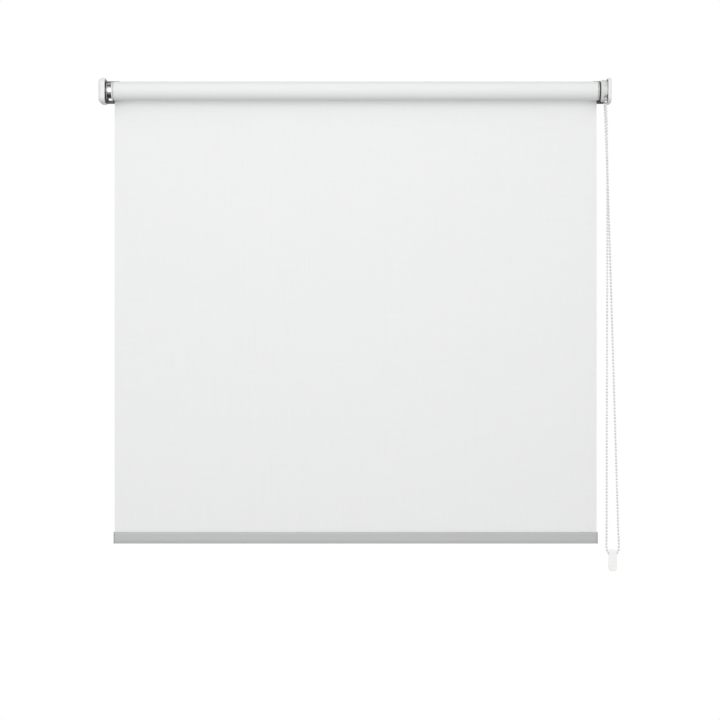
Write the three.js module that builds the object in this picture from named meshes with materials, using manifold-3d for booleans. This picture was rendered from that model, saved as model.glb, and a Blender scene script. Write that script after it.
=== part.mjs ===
// Roller blind: a spring-clutch roller on two covered brackets, with its sheet let down to the sill.
// Millimetres, +Z up. +X runs along the roll from the idle end to the control end. The wall is the
// plane Y = 0 and the room is at -Y. The origin is on the wall face of the idle bracket, at the
// height of the roll's axis.
import * as THREE from 'three';
import { mergeVertices } from 'three/addons/utils/BufferGeometryUtils.js';
import Module from 'manifold-3d';

const wasm = await Module();
wasm.setup();

// ---------------------------------------------------------------- driving dimensions

// Gap left between two pieces that touch on the real blind.
const GAP = 0.3;

// Fabric and the tube that it winds on.
const FABRIC_WIDTH = 900;
const FABRIC_THICKNESS = 0.4;
const FABRIC_DROP = 822; // roll axis to the top of the bottom bar
const FABRIC_HEM = 6.5; // fabric held inside the bottom bar
const TUBE_RADIUS = 16;
const TUBE_WALL = 1.1;
const TUBE_OVERHANG = 0.5; // tube past the fabric's edge
const WOUND_THICKNESS = 1.75; // tape and four turns of fabric, on the radius
const TAPE_THICKNESS = 0.3;
const TAPE_ANGLE = 0.7; // radians of the tube's girth

// Brackets, which are alike but for where their plates stand. Places along the roll are given as
// the distance past the fabric's edge.
const WALL_TO_AXIS = 30;
const SHEET_METAL = 2;
const BEND_RADIUS = 3;
const FLANGE_WIDTH = 28;
const FLANGE_CORNER = 4;
const FRONT_CORNER = 12;
const COVER_WALL = 1.6;
const COVER_FIT = 0.6; // guard to the inside of the cover
const SLOT_WIDTH = 4;
const SLOT_LENGTH = 9;
const SLOT_HEIGHT = 13; // slot above and below the axis
const SLOT_OFFSET = 4.8; // slot from the flange's middle towards the plate
const IDLE_PLATE = 15.2;
const IDLE_COVER_END = 27;
const IDLE_COVER_EDGE = 6;
const CONTROL_PLATE = 18.5;
const CONTROL_COVER_START = 18.2;
const CONTROL_COVER_END = 24.5;
const CONTROL_COVER_EDGE = 2;

// Plugs in the tube's two ends.
const PLUG_FLANGE = 3;
const PLUG_STEP = 0.75; // plug flange inside the roll's radius
const PLUG_LENGTH = 34;
const PLUG_CORE = 13.2;
const PLUG_RIBS = 6;
const PLUG_RIB_WIDTH = 2;

// Sprung pin and the polished hub that it turns in.
const PIN_RADIUS = 3;
const PIN_REACH = 5.8; // pin past the plug's face
const PIN_COLLAR = 5;
const PIN_COLLAR_LENGTH = 2.5;
const PIN_TAIL = 1.8;
const PIN_TAIL_LENGTH = 26.5;
const PIN_WALL = 3.8; // plug's front wall behind its face
const PIN_SPRING_TURNS = 8;
const PIN_SPRING_WIRE = 0.45;
const PIN_SPRING_RADIUS = 3.6;
const RETAINER_THICKNESS = 3;
const HUB_RADIUS = 13.5;
const HUB_LENGTH = 8;
const HUB_FACE_WALL = 2;
const HUB_FLANGE_RADIUS = 16.5;
const HUB_FLANGE_STEP = 2;
const BUSH_RADIUS = 5;
const HUB_SCREW = 1.6;
const SCREW_HEAD = 3.5;
const IDLE_SCREW_HEAD_HEIGHT = 2.2;

// Bead chain, its wheel and the guard round it.
const BEAD_RADIUS = 2.25;
const BEAD_PITCH = 6;
const WHEEL_POCKETS = 16;
const WHEEL_PLANE = 14.6;
const WHEEL_CHEEK = 0.8;
const WHEEL_RIM = 1.2; // cheeks past the chain's centre line
const POCKET_DEPTH = 0.7;
const GUARD_START = 5.5;
const GUARD_WALL = 1.6;
const GUARD_RING = 0.8;
const GUARD_RINGS = 3;
const GUARD_RING_WIDTH = 1.5;
const GUARD_RUN = 1; // chain to the inside of the guard
const GUARD_CHAMFER = 2;
const STRAND_RUN = 0.75; // chain to the sides of its slots

// Wrap-spring clutch between the chain wheel and the tube.
const CORE_RADIUS = 7;
const CORE_LENGTH = 38;
const CORE_BORE = 4;
const CORE_SCREW = 2;
const CORE_SCREW_LENGTH = 14;
const CORE_SCREW_HEAD_HEIGHT = 1.8;
const KEY_PEG = 1.2;
const KEY_PEG_PLACE = 4.7;
const WRAP_WIRE = 0.5;
const WRAP_TURNS = 4;
const WRAP_PITCH = 1.35;
const WRAP_ANGLE = 0.6; // radians between a spring's two tangs
const FORK_WALL = 1.5;
const FORK_REACH = 23;
const FORK_OPENING = 1.1; // radians left open for the tangs
const HUB_KEY = 0.26; // radians of the drive hub's key
const DRIVE_HUB_LENGTH = 27;
const DRIVE_FLANGE = 2;
const DRIVE_NECK = 2.4;
const DRIVE_NECK_WALL = 1.2;
const DRIVE_END_WALL = 3;
const SPACER_RADIUS = 18.5;

// Bottom bar, an extruded rail with a slot for the fabric.
const BAR_HEIGHT = 21;
const BAR_DEPTH = 9;
const BAR_CORNER = 2;
const BAR_SLOT = 1.2;
const BAR_LIP = 1.8;
const BAR_POCKET_WIDTH = 5.4;
const BAR_POCKET_HEIGHT = 5.4;
const BAR_WALL = 1.2;
const BAR_GROOVE = 0.6;
const BAR_GROOVE_PLACE = 16.2;
const BAR_GROOVE_HEIGHT = 1.2;
const STRIP_THICKNESS = 1.6;
const CAP_THICKNESS = 1.6;
const CAP_LIP = 0.3;
const CAP_SPIGOT = 8;

// Chain weight, clamped round the bottom of the loop.
const WEIGHT_WIDTH = 15;
const WEIGHT_HEIGHT = 39;
const WEIGHT_DEPTH = 9;
const WEIGHT_TOP = -853.2;
const WEIGHT_CORNER = 2.5;
const WEIGHT_EDGE = 1;
const SLUG_WIDTH = 9;
const SLUG_HEIGHT = 20;
const SLUG_DEPTH = 5;
const SLUG_BELOW_TOP = 15.5;

// Hanging chain, from the front of the wheel down, round the bottom and up to the back of the
// wheel, as [x, y, z] from the wheel's centre.
const LOOP_CENTRE = [13.7, 0, -851.4];
const LOOP_RADIUS = 11.2;
const CHAIN_ROUTE = [
  [0, -15.28, -0.15],
  [0, -15.28, -24],
  [1.2, -15.1, -60],
  [2.1, -14.2, -120],
  [2.5, -12.2, -240],
  [2.5, -10, -360],
  [2.4, -7.8, -480],
  [2.3, -5.4, -600],
  [2.3, -3, -720],
  [2.4, -1, -810],
  [2.5, 0, -851.4],
  [4, 0, -857],
  [8.1, 0, -861.1],
  [13.7, 0, -862.6],
  [19.3, 0, -861.1],
  [23.4, 0, -857],
  [24.9, 0, -851.4],
  [23.9, 1, -810],
  [21.4, 3, -720],
  [18, 5.4, -600],
  [14.7, 7.8, -480],
  [11.3, 10, -360],
  [7.8, 12.2, -240],
  [4, 14.2, -120],
  [1.6, 15.1, -60],
  [0, 15.28, -24],
  [0, 15.28, -0.15],
];

// Facets on round pieces.
const ROUND = 40;
const SMALL_ROUND = 18;

// ---------------------------------------------------------------- sizes worked out from those

const ROLL_RADIUS = TUBE_RADIUS + WOUND_THICKNESS;
const TUBE_BORE = TUBE_RADIUS - TUBE_WALL;
const PLUG_RADIUS = TUBE_BORE - GAP;
const FLANGE_RADIUS = ROLL_RADIUS - PLUG_STEP;
const SHEET_FRONT = -WALL_TO_AXIS + ROLL_RADIUS + GAP;
const SHEET_MIDDLE = SHEET_FRONT + FABRIC_THICKNESS / 2;
const PLUG_START = TUBE_OVERHANG + GAP;
const PLUG_FACE = PLUG_START + PLUG_FLANGE;
const PIN_CAVITY = PIN_COLLAR + GAP;
const BUSH_BORE = PIN_RADIUS + GAP;
const WHEEL_RADIUS = WHEEL_POCKETS * BEAD_PITCH / (2 * Math.PI);
const GUARD_BORE = WHEEL_RADIUS + BEAD_RADIUS + GUARD_RUN;
const GUARD_RADIUS = GUARD_BORE + GUARD_WALL;
const BRACKET_HALF_HEIGHT = GUARD_RADIUS + GUARD_RING + COVER_FIT + COVER_WALL;
const PLATE_INSET = COVER_WALL + GAP;
const GROOVE_RADIUS = BEAD_RADIUS + GAP;
const WRAP_RADIUS = CORE_RADIUS + GAP + 0.1 + WRAP_WIRE;
const FORK_BORE = WRAP_RADIUS + WRAP_WIRE + 2 * GAP;
const FORK_RADIUS = FORK_BORE + FORK_WALL;
const DRIVE_BORE = FORK_RADIUS + GAP;
const DRIVE_NECK_RADIUS = DRIVE_BORE + DRIVE_NECK_WALL;
const GUARD_EYE = FORK_RADIUS + 2 * GAP;
const WHEEL_START = WHEEL_PLANE - GROOVE_RADIUS - WHEEL_CHEEK;
const WHEEL_END = WHEEL_PLANE + GROOVE_RADIUS + WHEEL_CHEEK;
const BAR_HOLLOW_TOP = -BAR_LIP - BAR_POCKET_HEIGHT - BAR_WALL;
const BAR_HOLLOW_WIDTH = BAR_DEPTH - 2 * (BAR_WALL + BAR_GROOVE);

// ---------------------------------------------------------------- shaping

function solidOf(geometry) {
  const bare = geometry.clone();
  bare.deleteAttribute('normal');
  bare.deleteAttribute('uv');
  const merged = mergeVertices(bare, 1e-4);
  const index = merged.index.array;
  const corners = [];
  for (let i = 0; i < index.length; i += 3) {
    const [a, b, c] = index.slice(i, i + 3);
    if (a !== b && b !== c && c !== a) corners.push(a, b, c);
  }
  const mesh = new wasm.Mesh({
    numProp: 3,
    vertProperties: merged.attributes.position.array,
    triVerts: new Uint32Array(corners),
  });
  return new wasm.Manifold(mesh);
}

function geometryOf(solid) {
  const mesh = solid.getMesh();
  const geometry = new THREE.BufferGeometry();
  geometry.setAttribute('position', new THREE.BufferAttribute(new Float32Array(mesh.vertProperties), 3));
  geometry.setIndex(new THREE.BufferAttribute(new Uint32Array(mesh.triVerts), 1));
  geometry.computeVertexNormals();
  return geometry;
}

function cut(body, ...tools) {
  return geometryOf(tools.reduce((left, tool) => left.subtract(solidOf(tool)), solidOf(body)));
}

function join(body, ...others) {
  return geometryOf(others.reduce((sum, other) => sum.add(solidOf(other)), solidOf(body)));
}

function common(body, ...others) {
  return geometryOf(others.reduce((left, other) => left.intersect(solidOf(other)), solidOf(body)));
}

// A solid of revolution about the X axis, from an outline of [radius, x] points.
function turned(outline, facets = ROUND) {
  const points = outline.map(([radius, x]) => new THREE.Vector2(radius, x));
  if (THREE.ShapeUtils.isClockWise(points)) points.reverse();
  const first = points[0];
  const last = points[points.length - 1];
  if (first.x > 0 || last.x > 0) points.push(first.clone());
  return new THREE.LatheGeometry(points, facets).rotateZ(-Math.PI / 2);
}

function ring(inner, outer, from, to, facets = ROUND) {
  return turned([[inner, from], [outer, from], [outer, to], [inner, to]], facets);
}

function rod(radius, from, to, facets = SMALL_ROUND) {
  return turned([[0, from], [radius, from], [radius, to], [0, to]], facets);
}

// A solid with its outline in Y and Z, drawn out along X.
function alongX(shape, from, to, options = {}) {
  const turn = new THREE.Matrix4().makeBasis(
    new THREE.Vector3(0, 1, 0),
    new THREE.Vector3(0, 0, 1),
    new THREE.Vector3(1, 0, 0),
  );
  const settings = { depth: to - from, bevelEnabled: false, curveSegments: 8, ...options };
  return new THREE.ExtrudeGeometry(shape, settings).applyMatrix4(turn).translate(from, 0, 0);
}

function box(x, y, z) {
  const size = new THREE.BoxGeometry(x[1] - x[0], y[1] - y[0], z[1] - z[0]);
  return size.translate((x[0] + x[1]) / 2, (y[0] + y[1]) / 2, (z[0] + z[1]) / 2);
}

function roundedRectangle(width, height, corner) {
  const shape = new THREE.Shape();
  const across = width / 2 - corner;
  const up = height / 2 - corner;
  shape.absarc(across, up, corner, 0, Math.PI / 2, false);
  shape.absarc(-across, up, corner, Math.PI / 2, Math.PI, false);
  shape.absarc(-across, -up, corner, Math.PI, 1.5 * Math.PI, false);
  shape.absarc(across, -up, corner, 1.5 * Math.PI, 2 * Math.PI, false);
  shape.closePath();
  return shape;
}

// A part of a ring between two angles, measured from +Y towards +Z, drawn out along X.
function sector(inner, outer, start, end, from, to, facets) {
  const shape = new THREE.Shape();
  shape.absarc(0, 0, outer, start, end, false);
  shape.absarc(0, 0, inner, end, start, true);
  shape.closePath();
  return alongX(shape, from, to, { curveSegments: facets });
}

// A round wire or tube along points. Its steps are shared evenly between each two of them.
function drawnAlong(points, radius, sides, steps) {
  const curve = new THREE.CatmullRomCurve3(points.map((p) => new THREE.Vector3(...p)));
  curve.getPointAt = curve.getPoint;
  curve.getTangentAt = curve.getTangent;
  const section = new THREE.Shape();
  for (let i = 0; i < sides; i += 1) {
    const angle = 2 * Math.PI * i / sides;
    const corner = [radius * Math.cos(angle), radius * Math.sin(angle)];
    if (i === 0) section.moveTo(...corner);
    else section.lineTo(...corner);
  }
  section.closePath();
  return new THREE.ExtrudeGeometry(section, { steps, bevelEnabled: false, extrudePath: curve });
}

// ---------------------------------------------------------------- scene graph

const blind = new THREE.Group();
const centre = new THREE.Group();
const controlSide = new THREE.Group();
const idleSide = new THREE.Group();
centre.position.x = FABRIC_WIDTH / 2 + IDLE_PLATE + SHEET_METAL - FLANGE_WIDTH / 2;
controlSide.position.x = FABRIC_WIDTH / 2;
idleSide.position.x = -FABRIC_WIDTH / 2;
idleSide.rotation.y = Math.PI;
centre.add(controlSide, idleSide);
blind.add(centre);

function place(parent, name, geometry, look, y = 0, z = 0) {
  const mesh = new THREE.Mesh(geometry, new THREE.MeshStandardMaterial(look));
  mesh.name = name;
  mesh.position.set(0, y, z);
  parent.add(mesh);
}

function placeOnAxis(parent, name, geometry, look) {
  place(parent, name, geometry, look, -WALL_TO_AXIS);
}

const WHITE_PLASTIC = { color: 0xf1f1ef, roughness: 0.45, metalness: 0 };
const CLEAR_PLASTIC = { color: 0xe3e4e2, roughness: 0.35, metalness: 0 };
const GREY_PLASTIC = { color: 0xb4b5b6, roughness: 0.5, metalness: 0 };
const BLACK_PLASTIC = { color: 0x1c1c1c, roughness: 0.5, metalness: 0 };
const ALUMINIUM = { color: 0xbcbdbf, roughness: 0.4, metalness: 0.8 };
const CHROME = { color: 0xd6d8da, roughness: 0.12, metalness: 1 };
const STEEL = { color: 0xc3c5c8, roughness: 0.35, metalness: 1 };
const FABRIC = { color: 0xeeefee, roughness: 0.9, metalness: 0 };
const BEAD_PLASTIC = { color: 0xf3f3f1, roughness: 0.35, metalness: 0 };
const TAPE = { color: 0xe8e6df, roughness: 0.6, metalness: 0 };

// ---------------------------------------------------------------- brackets and their covers

// Side outline of a bracket, in Y and Z, brought in all round by inset.
function sideOutline(inset, back) {
  const half = BRACKET_HALF_HEIGHT - inset;
  const front = -WALL_TO_AXIS - half;
  const corner = FRONT_CORNER - inset;
  const shape = new THREE.Shape();
  shape.moveTo(back, -half);
  shape.lineTo(back, half);
  shape.absarc(front + corner, half - corner, corner, Math.PI / 2, Math.PI, false);
  shape.absarc(front + corner, corner - half, corner, Math.PI, 1.5 * Math.PI, false);
  shape.closePath();
  return shape;
}

// Bent sheet: a plate square to the roll, and a flange on the wall that runs in behind the roll.
function bracketGeometry(plate, holes) {
  const outer = plate + SHEET_METAL;
  const free = outer - FLANGE_WIDTH;
  const front = -WALL_TO_AXIS - BRACKET_HALF_HEIGHT;
  const half = BRACKET_HALF_HEIGHT - PLATE_INSET;
  const inside = BEND_RADIUS - SHEET_METAL;
  const bend = new THREE.Shape();
  bend.moveTo(free, 0);
  bend.lineTo(free, -SHEET_METAL);
  bend.absarc(plate - inside, -SHEET_METAL - inside, inside, Math.PI / 2, 0, true);
  bend.lineTo(plate, front);
  bend.lineTo(outer, front);
  bend.absarc(outer - BEND_RADIUS, -BEND_RADIUS, BEND_RADIUS, 0, Math.PI / 2, false);
  bend.closePath();
  const strip = new THREE.ExtrudeGeometry(bend, { depth: 2 * half, bevelEnabled: false, curveSegments: 6 });
  strip.translate(0, 0, -half);
  const side = alongX(sideOutline(PLATE_INSET, GAP), free - 1, outer + 1);

  const face = new THREE.Shape();
  face.moveTo(outer + 1, -half - 1);
  face.lineTo(outer + 1, half + 1);
  face.absarc(free + FLANGE_CORNER, half - FLANGE_CORNER, FLANGE_CORNER, Math.PI / 2, Math.PI, false);
  face.absarc(free + FLANGE_CORNER, FLANGE_CORNER - half, FLANGE_CORNER, Math.PI, 1.5 * Math.PI, false);
  face.closePath();
  const depth = -front + 2;
  const flange = new THREE.ExtrudeGeometry(face, { depth, bevelEnabled: false, curveSegments: 5 });
  flange.rotateX(Math.PI / 2).translate(0, 1, 0);

  const slots = [-SLOT_HEIGHT, SLOT_HEIGHT].map((height) => {
    const outline = roundedRectangle(SLOT_LENGTH, SLOT_WIDTH, SLOT_WIDTH / 2 - 0.01);
    const slot = new THREE.ExtrudeGeometry(outline, { depth: 6, bevelEnabled: false, curveSegments: 6 });
    return slot.rotateX(Math.PI / 2).translate(outer - FLANGE_WIDTH / 2 + SLOT_OFFSET, 3, height);
  });
  return cut(common(strip, side, flange), ...slots, ...holes);
}

// A snap-on shell over a plate, open towards the roll and the wall, with its outer edge rounded.
function coverGeometry(start, end, edge) {
  const block = (inset, from, to, round, back) => {
    const bevel = { bevelEnabled: true, bevelThickness: round, bevelSize: round, bevelSegments: 5 };
    const outline = sideOutline(inset + round, back);
    return alongX(outline, from, to - round, { ...bevel, curveSegments: 6 });
  };
  const skin = block(0, start, end, edge, -edge - 0.5);
  const hollow = block(COVER_WALL, start, end - COVER_WALL, Math.max(edge - COVER_WALL, 0.4), 6);
  const reach = WALL_TO_AXIS + 2 * BRACKET_HALF_HEIGHT;
  const kept = box([start, end + 1], [-reach, reach], [-reach, reach]);
  return cut(common(skin, kept), hollow);
}

const hubScrewHole = rod(HUB_SCREW + GAP, IDLE_PLATE - 1, IDLE_PLATE + SHEET_METAL + 1);
hubScrewHole.translate(0, -WALL_TO_AXIS, 0);
place(idleSide, 'idle_bracket', bracketGeometry(IDLE_PLATE, [hubScrewHole]), STEEL);

const idleCover = coverGeometry(IDLE_PLATE, IDLE_COVER_END, IDLE_COVER_EDGE);
place(idleSide, 'idle_bracket_cover', idleCover, WHITE_PLASTIC);

const plateOuter = CONTROL_PLATE + SHEET_METAL;
const clutchHoles = [
  rod(CORE_SCREW + GAP, CONTROL_PLATE - 1, plateOuter + 1),
  rod(KEY_PEG + GAP, CONTROL_PLATE - 1, plateOuter + 1).translate(0, 0, KEY_PEG_PLACE),
  rod(KEY_PEG + GAP, CONTROL_PLATE - 1, plateOuter + 1).translate(0, 0, -KEY_PEG_PLACE),
];
clutchHoles.forEach((hole) => hole.translate(0, -WALL_TO_AXIS, 0));
place(controlSide, 'control_bracket', bracketGeometry(CONTROL_PLATE, clutchHoles), STEEL);

const controlCover = coverGeometry(CONTROL_COVER_START, CONTROL_COVER_END, CONTROL_COVER_EDGE);
place(controlSide, 'control_bracket_cover', controlCover, WHITE_PLASTIC);

// ---------------------------------------------------------------- tube, fabric and bottom bar

const halfTube = FABRIC_WIDTH / 2 + TUBE_OVERHANG;
const halfFabric = FABRIC_WIDTH / 2;
placeOnAxis(centre, 'tube', ring(TUBE_BORE, TUBE_RADIUS, -halfTube, halfTube), ALUMINIUM);

const tapeInner = TUBE_RADIUS + GAP;
const tapeOuter = tapeInner + TAPE_THICKNESS;
const tape = sector(tapeInner, tapeOuter, 0, TAPE_ANGLE, -halfFabric, halfFabric, 8);
placeOnAxis(centre, 'fabric_tape', tape, TAPE);

const wound = ring(tapeOuter + GAP, ROLL_RADIUS, -halfFabric, halfFabric);
placeOnAxis(centre, 'wound_fabric', wound, FABRIC);

const sheetY = [SHEET_FRONT, SHEET_FRONT + FABRIC_THICKNESS];
const sheet = box([-halfFabric, halfFabric], sheetY, [-FABRIC_DROP - FABRIC_HEM, 0]);
place(centre, 'fabric_sheet', sheet, FABRIC);

function barSection() {
  const side = BAR_DEPTH / 2;
  const r = BAR_CORNER;
  const floor = -BAR_LIP - BAR_POCKET_HEIGHT;
  const shape = new THREE.Shape();
  shape.moveTo(BAR_SLOT / 2, -BAR_LIP);
  shape.lineTo(BAR_SLOT / 2, 0);
  shape.absarc(side - r, -r, r, Math.PI / 2, 0, true);
  shape.absarc(side - r, r - BAR_HEIGHT, r, 0, -Math.PI / 2, true);
  shape.absarc(r - side, r - BAR_HEIGHT, r, -Math.PI / 2, -Math.PI, true);
  shape.lineTo(-side, -BAR_GROOVE_PLACE - BAR_GROOVE_HEIGHT);
  shape.lineTo(BAR_GROOVE - side, -BAR_GROOVE_PLACE - BAR_GROOVE_HEIGHT);
  shape.lineTo(BAR_GROOVE - side, -BAR_GROOVE_PLACE);
  shape.lineTo(-side, -BAR_GROOVE_PLACE);
  shape.absarc(r - side, -r, r, Math.PI, Math.PI / 2, true);
  shape.lineTo(-BAR_SLOT / 2, 0);
  shape.lineTo(-BAR_SLOT / 2, -BAR_LIP);
  shape.lineTo(-BAR_POCKET_WIDTH / 2, -BAR_LIP);
  shape.lineTo(-BAR_POCKET_WIDTH / 2, floor);
  shape.lineTo(BAR_POCKET_WIDTH / 2, floor);
  shape.lineTo(BAR_POCKET_WIDTH / 2, -BAR_LIP);
  shape.closePath();
  const hollow = new THREE.Path();
  hollow.moveTo(-BAR_HOLLOW_WIDTH / 2, BAR_HOLLOW_TOP);
  hollow.lineTo(-BAR_HOLLOW_WIDTH / 2, BAR_WALL - BAR_HEIGHT);
  hollow.lineTo(BAR_HOLLOW_WIDTH / 2, BAR_WALL - BAR_HEIGHT);
  hollow.lineTo(BAR_HOLLOW_WIDTH / 2, BAR_HOLLOW_TOP);
  hollow.closePath();
  shape.holes.push(hollow);
  return shape;
}

const bar = alongX(barSection(), -halfFabric, halfFabric, { curveSegments: 4 });
place(centre, 'bottom_bar', bar, ALUMINIUM, SHEET_MIDDLE, -FABRIC_DROP);

// The welded hem lies beside a flat strip that is too wide to pull out through the slot.
const stripY = [FABRIC_THICKNESS / 2 + GAP, FABRIC_THICKNESS / 2 + GAP + STRIP_THICKNESS];
const stripZ = [GAP - BAR_LIP - BAR_POCKET_HEIGHT, -BAR_LIP - GAP];
const strip = box([-halfFabric, halfFabric], stripY, stripZ);
place(centre, 'fabric_retaining_strip', strip, WHITE_PLASTIC, SHEET_MIDDLE, -FABRIC_DROP);

function barCapGeometry() {
  const plate = roundedRectangle(BAR_DEPTH + 2 * CAP_LIP - 0.8, BAR_HEIGHT + 2 * CAP_LIP - 0.8, BAR_CORNER);
  const bevel = { bevelEnabled: true, bevelThickness: 0.4, bevelSize: 0.4, bevelSegments: 2 };
  const outer = alongX(plate, GAP + 0.4, GAP + CAP_THICKNESS - 0.4, { ...bevel, curveSegments: 4 });
  outer.translate(0, 0, -BAR_HEIGHT / 2);
  const halfWidth = BAR_HOLLOW_WIDTH / 2 - GAP;
  const spigotZ = [BAR_WALL - BAR_HEIGHT + GAP, BAR_HOLLOW_TOP - GAP];
  const spigot = box([-CAP_SPIGOT, GAP + CAP_THICKNESS / 2], [-halfWidth, halfWidth], spigotZ);
  return join(outer, spigot);
}

const controlCap = barCapGeometry().translate(halfFabric, 0, 0);
const idleCap = controlCap.clone().rotateZ(Math.PI);
place(centre, 'bar_end_cap_control', controlCap, GREY_PLASTIC, SHEET_MIDDLE, -FABRIC_DROP);
place(centre, 'bar_end_cap_idle', idleCap, GREY_PLASTIC, SHEET_MIDDLE, -FABRIC_DROP);

// ---------------------------------------------------------------- plugs in the tube's ends

// Ribs that grip the tube's bore, from one place along the roll to another.
function plugRibs(from, to) {
  return Array.from({ length: PLUG_RIBS }, (_, i) => {
    const halfWidth = PLUG_RIB_WIDTH / 2;
    const rib = box([from, to], [PLUG_CORE - 1, PLUG_RADIUS], [-halfWidth, halfWidth]);
    return rib.rotateX(2 * Math.PI * (i + 0.5) / PLUG_RIBS);
  });
}

const plugCore = turned([
  [BUSH_BORE, PLUG_FACE],
  [FLANGE_RADIUS - 0.6, PLUG_FACE],
  [FLANGE_RADIUS, PLUG_FACE - 0.6],
  [FLANGE_RADIUS, PLUG_START],
  [PLUG_CORE, PLUG_START],
  [PLUG_CORE, PLUG_START - PLUG_LENGTH],
  [PIN_CAVITY, PLUG_START - PLUG_LENGTH],
  [PIN_CAVITY, PLUG_FACE - PIN_WALL],
  [BUSH_BORE, PLUG_FACE - PIN_WALL],
]);
const plug = join(plugCore, ...plugRibs(PLUG_START - PLUG_LENGTH + 1, PLUG_START + 0.5));
placeOnAxis(idleSide, 'idle_end_plug', plug, WHITE_PLASTIC);

const driveEnd = PLUG_START - DRIVE_HUB_LENGTH;
const driveCore = turned([
  [0, driveEnd],
  [PLUG_CORE, driveEnd],
  [PLUG_CORE, PLUG_START],
  [FLANGE_RADIUS, PLUG_START],
  [FLANGE_RADIUS, PLUG_START + DRIVE_FLANGE - 0.5],
  [FLANGE_RADIUS - 0.5, PLUG_START + DRIVE_FLANGE],
  [DRIVE_NECK_RADIUS, PLUG_START + DRIVE_FLANGE],
  [DRIVE_NECK_RADIUS, PLUG_START + DRIVE_FLANGE + DRIVE_NECK - GAP],
  [DRIVE_BORE, PLUG_START + DRIVE_FLANGE + DRIVE_NECK - GAP],
  [DRIVE_BORE, driveEnd + DRIVE_END_WALL],
  [0, driveEnd + DRIVE_END_WALL],
]);
const keyStart = Math.PI / 2 - HUB_KEY / 2;
const keyTo = PLUG_START + DRIVE_FLANGE;
const keyEnd = keyStart + HUB_KEY;
const driveKey = sector(FORK_BORE, DRIVE_BORE + 0.5, keyStart, keyEnd, driveEnd + 1, keyTo, 2);
const driveHub = join(driveCore, driveKey, ...plugRibs(driveEnd + 1, PLUG_START + 0.5));
placeOnAxis(controlSide, 'drive_hub', driveHub, WHITE_PLASTIC);

// A spacer ring on the drive hub's neck, between the hub's flange and the chain guard.
const spacerStart = PLUG_START + DRIVE_FLANGE + GAP;
const spacer = ring(DRIVE_NECK_RADIUS + GAP, SPACER_RADIUS, spacerStart, GUARD_START - GAP);
placeOnAxis(controlSide, 'drive_washer', spacer, BLACK_PLASTIC);

// ---------------------------------------------------------------- sprung pin and polished hub

const collarEnd = PLUG_FACE - PIN_WALL - GAP;
const tailStart = collarEnd - PIN_COLLAR_LENGTH;
const pin = turned([
  [0, PLUG_FACE + PIN_REACH],
  [PIN_RADIUS - 1, PLUG_FACE + PIN_REACH],
  [PIN_RADIUS, PLUG_FACE + PIN_REACH - 1],
  [PIN_RADIUS, collarEnd],
  [PIN_COLLAR, collarEnd],
  [PIN_COLLAR, tailStart],
  [PIN_TAIL, tailStart],
  [PIN_TAIL, tailStart - PIN_TAIL_LENGTH],
  [0, tailStart - PIN_TAIL_LENGTH],
], SMALL_ROUND);
placeOnAxis(idleSide, 'idle_pin', pin, STEEL);

const retainerEnd = tailStart - PIN_TAIL_LENGTH + 1;
const retainer = ring(PIN_TAIL + GAP, PIN_COLLAR, retainerEnd, retainerEnd + RETAINER_THICKNESS, SMALL_ROUND);
placeOnAxis(idleSide, 'pin_retainer', retainer, GREY_PLASTIC);

// A helix of wire about the X axis, as points from one place to another.
function helix(radius, from, to, startAngle, endAngle, stepsPerTurn) {
  const count = Math.round(Math.abs(endAngle - startAngle) / (2 * Math.PI) * stepsPerTurn);
  return Array.from({ length: count + 1 }, (_, i) => {
    const share = i / count;
    const angle = startAngle + (endAngle - startAngle) * share;
    return [from + (to - from) * share, radius * Math.cos(angle), radius * Math.sin(angle)];
  });
}

const springFrom = tailStart - GAP - PIN_SPRING_WIRE;
const springTo = retainerEnd + RETAINER_THICKNESS + GAP + PIN_SPRING_WIRE;
const springAngle = 2 * Math.PI * PIN_SPRING_TURNS;
const springPath = helix(PIN_SPRING_RADIUS, springFrom, springTo, 0, springAngle, 10);
const pinSpring = drawnAlong(springPath, PIN_SPRING_WIRE, 6, springPath.length - 1);
placeOnAxis(idleSide, 'pin_spring', pinSpring, STEEL);

const hubStart = PLUG_FACE + GAP;
const hubEnd = hubStart + HUB_LENGTH;
const bushSeat = hubEnd - HUB_FACE_WALL;
const hub = turned([
  [BUSH_RADIUS + GAP, hubStart],
  [HUB_RADIUS - 0.8, hubStart],
  [HUB_RADIUS, hubStart + 0.8],
  [HUB_RADIUS, hubEnd],
  [HUB_SCREW + GAP, hubEnd],
  [HUB_SCREW + GAP, bushSeat],
  [BUSH_RADIUS + GAP, bushSeat],
]);
placeOnAxis(idleSide, 'idle_hub', hub, CHROME);

const bush = ring(BUSH_BORE, BUSH_RADIUS, hubStart, bushSeat - GAP, SMALL_ROUND);
placeOnAxis(idleSide, 'idle_hub_bush', bush, WHITE_PLASTIC);

const hubFlangeStart = hubEnd + GAP;
const hubFlangeEnd = IDLE_PLATE - GAP;
const hubFlange = turned([
  [HUB_SCREW + GAP, hubFlangeStart],
  [HUB_FLANGE_RADIUS - HUB_FLANGE_STEP, hubFlangeStart],
  [HUB_FLANGE_RADIUS - HUB_FLANGE_STEP, hubFlangeStart + 1],
  [HUB_FLANGE_RADIUS, hubFlangeStart + 1],
  [HUB_FLANGE_RADIUS, hubFlangeEnd],
  [HUB_SCREW + GAP, hubFlangeEnd],
]);
placeOnAxis(idleSide, 'idle_hub_flange', hubFlange, STEEL);

// A pan-headed screw that points towards the roll, with its head on the outside of a plate.
function screwGeometry(shank, headRadius, headHeight, plateFace, tip) {
  const seat = plateFace + GAP;
  return turned([
    [0, tip],
    [shank - 0.5, tip],
    [shank, tip + 0.5],
    [shank, seat],
    [headRadius, seat],
    [headRadius, seat + headHeight - 0.8],
    [headRadius - 0.8, seat + headHeight],
    [0, seat + headHeight],
  ], SMALL_ROUND);
}

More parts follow.
